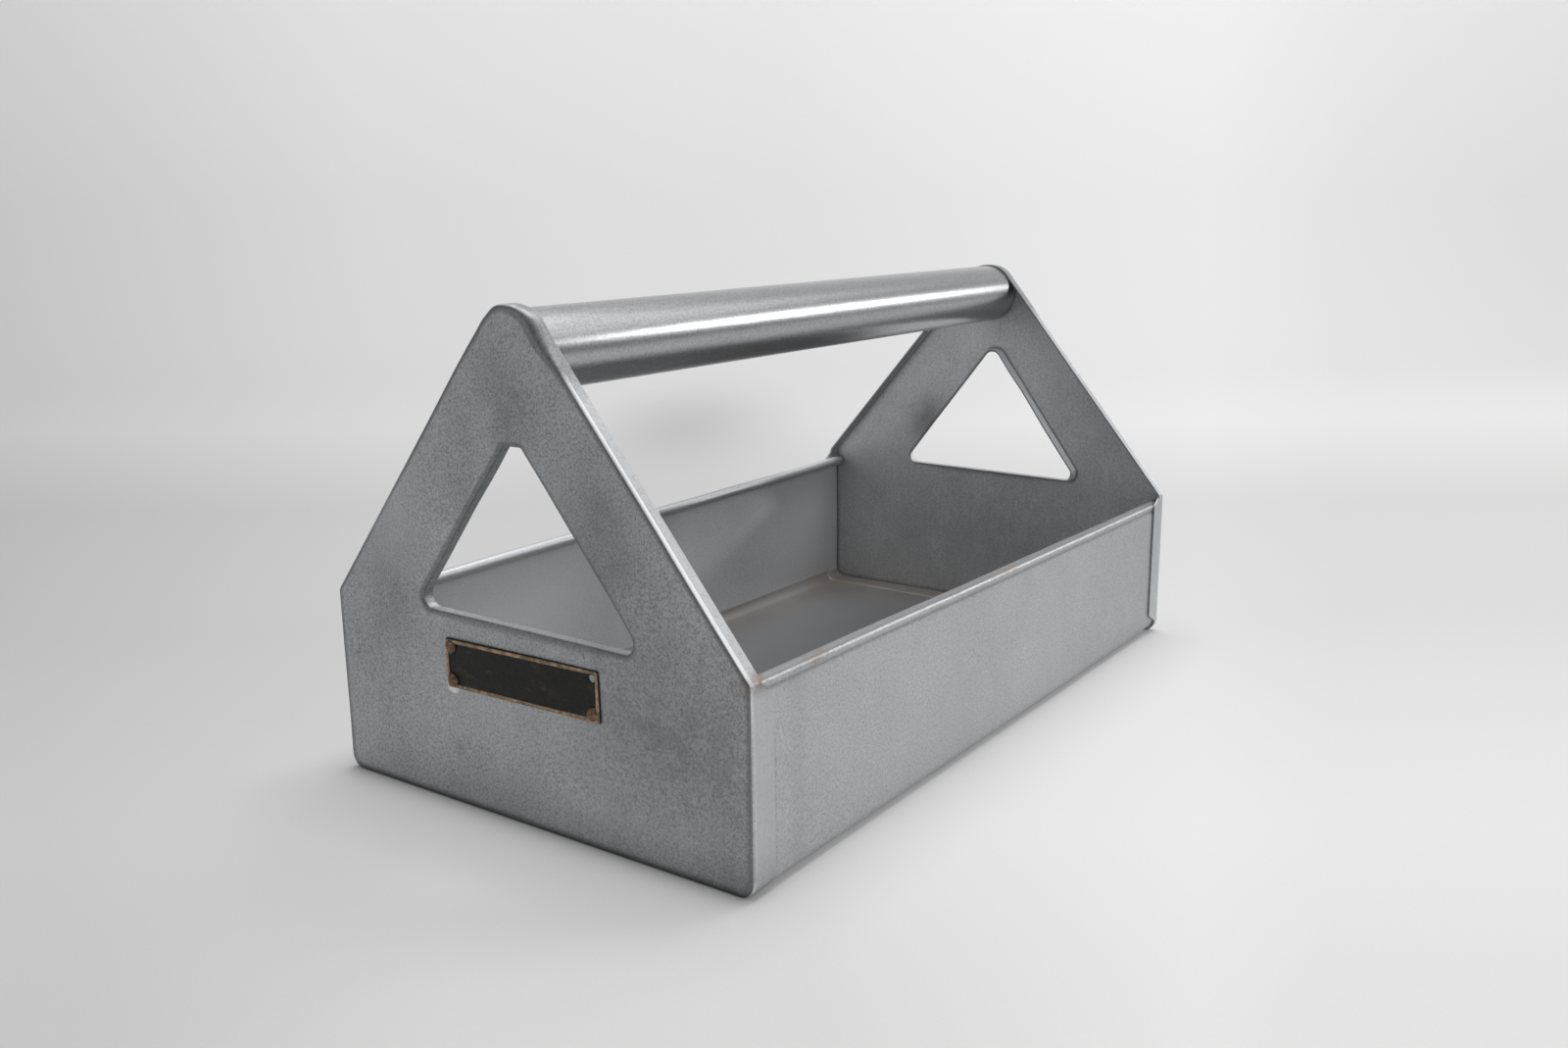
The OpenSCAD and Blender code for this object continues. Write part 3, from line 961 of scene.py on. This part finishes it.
def sheet_metal(
    name, tone, rough, grain, seed, detail=None,
    metallic=0.7, cloudy=0.7, streak=0.35, grit=0.85, rise=0.35,
):
    """Worn bare sheet: cloudy tone, fine speckle, faint grain along one direction, painted shade on the folds
    and painted highlights where marked.
    """
    n = Nodes(name)
    clouds = n.noise(20, 5, 0.6, shift=(seed, seed, 0))
    patches = n.noise(55, 4, 0.6, shift=(0, seed, seed))
    speckle = n.noise(1150, 3, 0.75)
    pits = n.noise(620, 2, 0.6, shift=(seed, 0, 0))
    lines = n.noise(800, 3, 0.65, stretch=grain)
    painted_shade, painted_highlight, flange = n.mark("fold"), n.mark("edge"), n.mark("flange")
    c = n.mix(flange, tone, TRAY_TONE)
    c = n.mix(cloudy, c, n.ramp(clouds, (0.34, 0.84), (0.66, 1.0)), "MULTIPLY")
    c = n.mix(cloudy, c, n.ramp(patches, (0.35, 0.93), (0.65, 1.04)), "MULTIPLY")
    speckled = n.mul(n.sub(FLANGE_CALM, flange), grit / FLANGE_CALM)
    c = n.mix(speckled, c, n.ramp(speckle, (0.36, 0.56), (0.5, 1.0), (0.64, 1.28)), "MULTIPLY")
    c = n.mix(0.7 * grit, c, n.ramp(pits, (0.3, 0.7), (0.42, 1.0)), "MULTIPLY")
    c = n.mix(streak, c, n.ramp(lines, (0.3, 0.8), (0.7, 1.1)), "MULTIPLY")
    # Painted shade where the fold mark is: folds, lip edges, the foot, and round the rims' curls
    c = n.tint(c, painted_shade, 0.62, tuple(v * 0.25 for v in tone))
    # Painted highlight where the edge mark is: thin light lines on folds and curls, the slopes' flange strips
    # and the rear lip
    c = n.mix(painted_highlight, c, PAINTED_HIGHLIGHT_TONE)
    r = n.add(n.mul(clouds, 0.14 * cloudy), rough - 0.03 - 0.07 * cloudy)
    r = n.add(r, n.mul(speckle, 0.12), clamp=True)
    r = n.sub(r, n.mul(painted_highlight, 0.22))
    if detail:
        c = detail(n, c)
    height = n.add(n.mul(speckle, 0.6), n.mul(lines, 0.4))
    height = n.add(height, n.mul(pits, 0.5))
    metal = n.sub(metallic, n.mul(flange, metallic - FLANGE_METALLIC))
    metal = n.add(metal, n.mul(painted_highlight, n.sub(PAINTED_HIGHLIGHT_METALLIC, metal)))
    return n.finish(c, metal, r, height, rise, 0.00014)


def tray_detail(n, c):
    """Painted shade on the floor with a warm film at its far end, painted light and painted shade on the
    walls, and brown specks on a rim.
    """
    low = n.mark("flange")
    far_corner = n.mul(patch(n, (X, Y), (120, 92), (80, 16)), 0.65)
    far = n.add(patch(n, (X,), (178,), (30,)), far_corner, clamp=True)
    cloud = n.ramp(n.noise(30, 5, 0.6), (0.35, 0.0), (0.65, 1.0))
    film = n.mul(n.mul(far, low), n.add(n.mul(cloud, 0.4), 0.45))
    # Painted shade: the floor, marked low inside, is painted dark
    c = n.tint(c, low, 0.85, FLOOR_SHADE_TONE)
    # Painted shade on the right wall's outer skin
    outside = n.mul(n.sub(OUTSIDE_Y * MM, n.axis(Y)), 1 / MM, clamp=True)
    c = n.tint(c, outside, 0.15, SHADE)
    # Painted light on the left wall's inner face
    for centre, radii, amount in (((-70, 97, 42), (110, 6, 45), 0.65), ((150, 97, 45), (50, 6, 45), 0.8)):
        c = n.tint(c, patch(n, (X, Y, Z), centre, radii), amount, PAINTED_SHEEN)
    # Painted shade in two upright bands on the right wall's outer face
    for centre, radii, amount in (((-149, -98), (5, 6), 0.2), ((150, -98), (55, 6), 0.22)):
        c = n.tint(c, patch(n, (X, Y), centre, radii), amount, (0.3, 0.3, 0.3))
    c = n.mix(film, c, (0.42, 0.36, 0.31))
    spots = n.ramp(n.noise(240, 4, 0.6, stretch=(0.5, 1, 1)), (0.5, 0.0), (0.62, 1.0))
    for x, z, along, up, amount in (
        (-170, 71, 8, 4, 0.9),
        (-140, 71, 18, 3, 0.4),
        (-150, 71, 30, 3, 0.3),
        (20, 69, 60, 3, 0.4),
        (130, 67, 40, 3, 0.35),
    ):
        mask = n.mul(patch(n, (X, Y, Z), (x, -96.5, z), (along, 6, up)), spots)
        c = n.tint(c, mask, amount, (0.25, 0.175, 0.13))
    return c


def front_detail(n, c):
    """Painted shade and painted reflections in soft darker and lighter places, darkest over the peak; painted
    shade along the foot; a stain at a top corner, a painted reflection on the side flange, and the dimple's
    mark.
    """
    uneven = n.ramp(n.noise(90, 6, 0.75), (0.32, 0.4), (0.62, 1.0))
    # Painted shade and painted reflections, as y, z, radii across and up, amount and grey; grey 0.62 is
    # lighter
    for y, z, across, up, amount, shade in (
        (2, 160, 16, 20, 0.3, 0.14),
        (0, 146, 12, 11, 0.3, 0.1),
        (24, 136, 7, 18, 0.2, 0.14),
        (-60, 46, 34, 27, 0.55, 0.15),
        (-38, 104, 14, 34, 0.65, 0.16),
        (66, 76, 14, 20, 0.35, 0.15),
        (0, 5, 110, 12, 0.3, 0.15),
        (84, 40, 22, 34, 0.16, 0.15),
        (-90, 40, 9, 34, 0.3, 0.15),
        (-90, 4, 14, 7, 0.35, 0.12),
        (58, 66, 26, 12, 0.12, 0.15),
        (8, 40, 42, 12, 0.26, 0.62),
        (62, 118, 12, 18, 0.2, 0.62),
        (-40, 14, 46, 10, 0.2, 0.62),
        (66, 100, 12, 14, 0.4, 0.62),
        (-70, 60, 12, 20, 0.12, 0.12),
        (-62, 88, 12, 18, 0.2, 0.12),
    ):
        mask = n.mul(patch(n, (Y, Z), (y, z), (across, up)), uneven)
        c = n.tint(c, mask, amount, (shade, shade, shade * 1.02))
    corner = n.mul(patch(n, (X, Y, Z), (-169, -98, 71.5), (6, 5, 3)), uneven)
    c = n.tint(c, corner, 1.2, (0.13, 0.08, 0.055), clamp=True)
    # Painted reflection, a pale band on the front panel's right side flange
    c = n.tint(c, patch(n, (X, Y, Z), (-172, -100, 32), (14, 1.2, 60)), 0.35, (0.84, 0.87, 0.9))
    # Painted shade along the foot, a contact shadow
    c = n.tint(c, patch(n, (Z,), (0,), (1.9,)), 0.85, SHADE)
    return n.tint(c, patch(n, (Y, Z), (34.6, 22.0), (2.6, 2.6)), 0.3, (0.12, 0.13, 0.17))


def rear_detail(n, c):
    """Painted shade in soft darker places of the rear panel's inner face."""
    mottle = n.ramp(n.noise(60, 5, 0.65), (0.36, 0.4), (0.6, 1.0))
    for y, z, across, up, amount in (
        (36, 100, 13, 16, 0.6),
        (0, 40, 90, 34, 0.3),
        (0, 150, 14, 10, 0.15),
    ):
        mask = n.mul(patch(n, (Y, Z), (y, z), (across, up)), mottle)
        c = n.tint(c, mask, amount, (0.15, 0.15, 0.155))
    return c


def label_material():
    """Blackened plate, rubbed back to brass on its raised border and a little on the field."""
    n = Nodes("label_blackened_brass")
    high = n.mul(n.sub(FRONT_X * MM - RUBBED_RISE * MM, n.axis(X)), RUBBED_GAIN, clamp=True)
    wear = n.ramp(n.noise(420, 5, 0.65), (0.42, 0.0), (0.6, 1.0))
    fine = n.noise(1800, 3, 0.6)
    rubbed = n.mul(high, n.add(n.mul(wear, 0.55), 0.45), clamp=True)
    scuffs = n.ramp(n.noise(160, 5, 0.7, stretch=(1, 0.35, 1)), (0.56, 0.0), (0.72, 0.5))
    rubbed = n.math("MAXIMUM", rubbed, n.mul(scuffs, 0.2))
    black = n.ramp(fine, (0.3, (0.009, 0.009, 0.009)), (0.7, (0.026, 0.024, 0.022)))
    brass = n.ramp(n.noise(300, 4, 0.6), (0.3, (0.31, 0.21, 0.125)), (0.7, (0.62, 0.46, 0.31)))
    c = n.mix(rubbed, black, brass)
    r = n.add(n.mul(fine, 0.25), 0.34)
    metal = n.add(n.mul(rubbed, 0.75), 0.03, clamp=True)
    return n.finish(c, metal, r, fine, 0.25, 0.0001, specular=0.22)


def spotted_metal(name, scale, stops, metallic, rough, fine_scale, strength):
    """Tarnished metal whose tone wanders between a few colours."""
    n = Nodes(name)
    tone = n.ramp(n.noise(scale, 5, 0.65), *stops)
    fine = n.noise(fine_scale, 3, 0.6)
    return n.finish(tone, metallic, n.add(n.mul(fine, 0.3), rough), fine, strength, 0.0001)


RIVET_TONES = ((0.32, (0.07, 0.045, 0.03)), (0.5, (0.19, 0.12, 0.075)), (0.72, (0.34, 0.23, 0.15)))
BRAZE_TONES = ((0.35, (0.12, 0.08, 0.06)), (0.55, (0.26, 0.2, 0.16)), (0.75, (0.4, 0.37, 0.34)))

tray_mat = sheet_metal(
    "tray_sheet_metal", TRAY_TONE, SHEET_ROUGH, (0.6, 1, 0.08), 0.0, tray_detail,
    metallic=0.52, cloudy=0.45, streak=0.1, grit=0.55,
)
front_mat = sheet_metal("front_sheet_metal", FRONT_SHADED_TONE, SHEET_ROUGH, (1, 1, 0.06), 1.3, front_detail)
rear_mat = sheet_metal(
    "rear_sheet_metal", REAR_LIGHTENED_TONE, SHEET_ROUGH, (1, 1, 0.06), 2.6, rear_detail, metallic=0.6, grit=0.55,
)
tube_mat = sheet_metal(
    "tube_metal", (0.45, 0.456, 0.466), 0.27, (0.03, 1, 1), 3.9,
    metallic=1.0, cloudy=0.1, streak=0.3, grit=0.5, rise=0.2,
)
wire_mat = sheet_metal("wire_metal", (0.45, 0.45, 0.46), 0.45, (0.03, 1, 1), 5.2)
solder_mat = sheet_metal(
    "solder_metal", (0.95, 0.95, 0.95), 0.36, (1, 1, 1), 6.1,
    metallic=0.25, cloudy=0.3, streak=0.1, grit=0.3,
)
label_mat = label_material()
rivet_mat = spotted_metal("rivet_tarnished_brass", 700, RIVET_TONES, 0.85, 0.3, 2200, 0.3)
braze_mat = spotted_metal("braze_metal", 600, BRAZE_TONES, 0.8, 0.35, 2000, 0.4)

finish_piece(tray, "tray_sheet", tray_mat, "tray")
finish_piece(front_panel, "panel_sheet", front_mat, "front_end_panel")
finish_piece(rear_panel, "panel_sheet", rear_mat, "rear_end_panel")
finish_piece(handle, "tube_metal", tube_mat, "handle_tube")
finish_piece(left_wire, "wire_metal", wire_mat, "left_rim_wire")
finish_piece(right_wire, "wire_metal", wire_mat, "right_rim_wire")
finish_piece(label, "label_brass", label_mat, "label_plate")
finish_piece(rivets, "rivet_brass", rivet_mat, "label_rivets")
finish_piece(solder, "panel_sheet", solder_mat)
for blob in braze:
    finish_piece(blob, "tray_sheet", braze_mat)


# Studio, in metres

# The photo's camera, solved from the object's edges; angles in radians
CAMERA_YAW, CAMERA_PITCH, CAMERA_ROLL = 0.952294, -0.22317, -0.009964
CAMERA_PLACE = (-0.491408, -0.33784, 0.212816)
PHOTO_FOCAL_PX, PHOTO_W_PX = 1403.84, 1600.0
SENSOR_W = 36.0

# The paper sweep, square to the camera
SWEEP_LEFT, SWEEP_RIGHT_FRONT, SWEEP_RIGHT_BACK = -3.2, 0.8, 3.0
SWEEP_FRONT, SWEEP_BEND, SWEEP_R, SWEEP_TOP = -2.6, 1.2, 0.8, 3.4
SWEEP_STEPS = 16

# The paper's own even tone, less of it round the object and close to it, and a painted shadow behind it
PAPER_GLOW, PAPER_GLOW_DROP, PAPER_GLOW_REACH = 0.6, 0.12, 0.38
CONTACT_REACH, CONTACT_DROP = 0.019, 0.4
PAINTED_SHADOW_ACROSS, PAINTED_SHADOW_AWAY = (-0.11, 0.09), (0.8, 0.26)
PAINTED_SHADOW_AMOUNT = 0.24

# The camera's distance before the object, and the stretch of paper whose tone changes with distance
VIEW_BACK, VIEW_LEAST = 0.6, 0.3
RUN_BACK, RUN_LENGTH = 1.0, 5.0

# The middle of the object, where the lights aim
LIGHT_AIM = (0, 0, 0.15)


def paper_material(direction, side):
    """Pale paper with painted light and shade: darker to the left and just behind the object, palest where
    the floor bends up into the wall, and darker high on the wall.

    Part of what the camera and glossy rays see is its own even tone, less of it beside the object, so that
    the paper stays pale and still holds the object's shadow.
    """
    n = Nodes("studio_paper")
    across, away = [n.add(n.mul(n.axis(X), v.x), n.mul(n.axis(Y), v.y)) for v in (side, direction)]
    reach = n.math("MAXIMUM", n.add(away, VIEW_BACK), VIEW_LEAST)
    to_right = n.add(n.div(across, reach), 0.6, clamp=True)
    # Painted light and shade: the paper is darker to the left
    colour = n.ramp(to_right, (0.0, 0.82), (0.12, 0.87), (0.3, 0.955), (0.6, 0.97), (0.9, 1.1), (1.0, 1.06))
    colour = n.mix(1.0, colour, (1.0, 0.997, 0.995), "MULTIPLY")
    colour = n.mix(1.0, colour, n.ramp(n.noise(900, 3, 0.6), (0.2, 0.985), (0.8, 1.015)), "MULTIPLY")
    # Painted light and shade: darker just behind the object, palest where the floor bends up, darker high on
    # the wall
    run = n.div(n.add(n.add(away, n.axis(Z)), RUN_BACK), RUN_LENGTH, clamp=True)
    stops = ((0.15, 0.7), (0.17, 0.72), (0.22, 0.63), (0.28, 0.615), (0.36, 0.76), (0.5, 0.845), (0.6, 0.885))
    stops += ((0.72, 1.0), (0.76, 0.98), (0.85, 0.78), (1.0, 0.58))
    colour = n.mix(1.0, colour, n.ramp(run, *stops), "MULTIPLY")
    # Painted shadow, a soft darker place on the paper behind the object
    places = ((across, *PAINTED_SHADOW_ACROSS), (away, *PAINTED_SHADOW_AWAY))
    painted_shadow = n.soft([n.div(n.sub(value, middle), radius) for value, middle, radius in places])
    colour = n.tint(colour, painted_shadow, PAINTED_SHADOW_AMOUNT, (0, 0, 0))
    paper, glow = n.new("BsdfDiffuse", Color=colour), n.new("Emission", Color=colour)
    path = n.new("LightPath")
    seen = n.math("MAXIMUM", path.outputs["Is Camera Ray"], path.outputs["Is Glossy Ray"])
    seen = n.math("MAXIMUM", seen, path.outputs["Is Transmission Ray"])
    beside = n.mul(n.soft([n.mul(n.axis(i), 1 / PAPER_GLOW_REACH) for i in (X, Y)]), PAPER_GLOW_DROP)
    edge_x = n.sub(n.math("ABSOLUTE", n.axis(X)), OVERALL_L / 2 * MM)
    edge_y = n.sub(n.math("ABSOLUTE", n.axis(Y)), PANEL_W / 2 * MM)
    gap = n.div(n.math("MAXIMUM", edge_x, edge_y), CONTACT_REACH)
    contact = n.math("POWER", n.sub(1.0, gap, clamp=True), 3.0)
    beside = n.add(beside, n.mul(contact, CONTACT_DROP))
    both = n.new("MixShader")
    share = n.mul(seen, n.sub(PAPER_GLOW, beside))
    for socket, value in zip(both.inputs, (share, paper.outputs[0], glow.outputs[0])):
        n.set(socket, value)
    n.set(n.out.inputs["Surface"], both.outputs[0])
    return n.material


def studio_sweep():
    """Pale floor that curves up into a wall far behind the object, square to the camera."""
    profile = [(SWEEP_FRONT, 0.0), (0.0, 0.0), (SWEEP_BEND, 0.0)]
    for k in range(1, SWEEP_STEPS + 1):
        a = math.pi / 2 * k / SWEEP_STEPS
        profile.append((SWEEP_BEND + SWEEP_R * math.sin(a), SWEEP_R - SWEEP_R * math.cos(a)))
    profile.append((SWEEP_BEND + SWEEP_R, SWEEP_TOP))
    direction = Vector((math.sin(CAMERA_YAW), math.cos(CAMERA_YAW), 0))
    side = Vector((direction.y, -direction.x, 0))
    verts = []
    for d, z in profile:
        for s in (SWEEP_LEFT, SWEEP_RIGHT_BACK if d > 0 else SWEEP_RIGHT_FRONT):
            p = direction * d + side * s
            verts.append((p.x / MM, p.y / MM, z / MM))
    obj = new_object("studio_sweep", verts, grid_faces(len(profile), 2))
    obj.data.materials.append(paper_material(direction, side))


def studio_world():
    """Dim even light from all round."""
    world = bpy.data.worlds.new("studio_world")
    world.use_nodes = True
    background = world.node_tree.nodes["Background"]
    background.inputs["Color"].default_value = (0.95, 0.97, 1.0, 1)
    background.inputs["Strength"].default_value = 0.13
    scene.world = world


def area_light(name, azimuth, elevation, distance, size, radiance):
    """Softbox that faces the object, by its direction in degrees, its size and its brightness."""
    data = bpy.data.lights.new(name, "AREA")
    data.shape = "ELLIPSE"
    data.size, data.size_y = size
    data.energy = radiance * math.pi * math.pi / 4 * size[0] * size[1]
    obj = bpy.data.objects.new(name, data)
    az, el = math.radians(azimuth), math.radians(elevation)
    outward = Vector((math.cos(az) * math.cos(el), math.sin(az) * math.cos(el), math.sin(el)))
    obj.location = outward * distance + Vector(LIGHT_AIM)
    obj.rotation_euler = outward.to_track_quat("Z", "Y").to_euler()
    obj.visible_camera = False
    scene.collection.objects.link(obj)


def photo_camera():
    """The camera that took the photo."""
    pitch, roll = CAMERA_PITCH, CAMERA_ROLL
    level = math.cos(pitch)
    forward = Vector((math.sin(CAMERA_YAW) * level, math.cos(CAMERA_YAW) * level, math.sin(pitch)))
    right = forward.cross(Vector((0, 0, 1))).normalized()
    up = right.cross(forward)
    right, up = right * math.cos(roll) + up * math.sin(roll), up * math.cos(roll) - right * math.sin(roll)
    data = bpy.data.cameras.new("camera")
    data.sensor_width = SENSOR_W
    data.lens = PHOTO_FOCAL_PX * SENSOR_W / PHOTO_W_PX
    data.clip_start, data.clip_end = 0.01, 50.0
    obj = bpy.data.objects.new("camera", data)
    turn = Matrix((right, up, -forward)).transposed().to_4x4()
    obj.matrix_world = Matrix.Translation(CAMERA_PLACE) @ turn
    scene.collection.objects.link(obj)
    scene.camera = obj


studio_sweep()
studio_world()
for light in (
    ("key_window", -35, 13, 1.7, (0.22, 0.17), 46.0),
    ("sky_window", -22, 63, 1.6, (0.45, 0.45), 9.0),
    ("tent_roof", 40, 79, 1.5, (1.25, 1.25), 5.2),
    ("side_window", -40, 42, 1.7, (1.4, 1.0), 1.1),
    ("room_window", -88, 30, 1.7, (1.4, 1.1), 1.5),
    ("left_fill", 150, 14, 1.8, (1.6, 1.0), 0.8),
):
    area_light(*light)
photo_camera()
scene.view_settings.view_transform = "Standard"

bpy.context.view_layer.update()
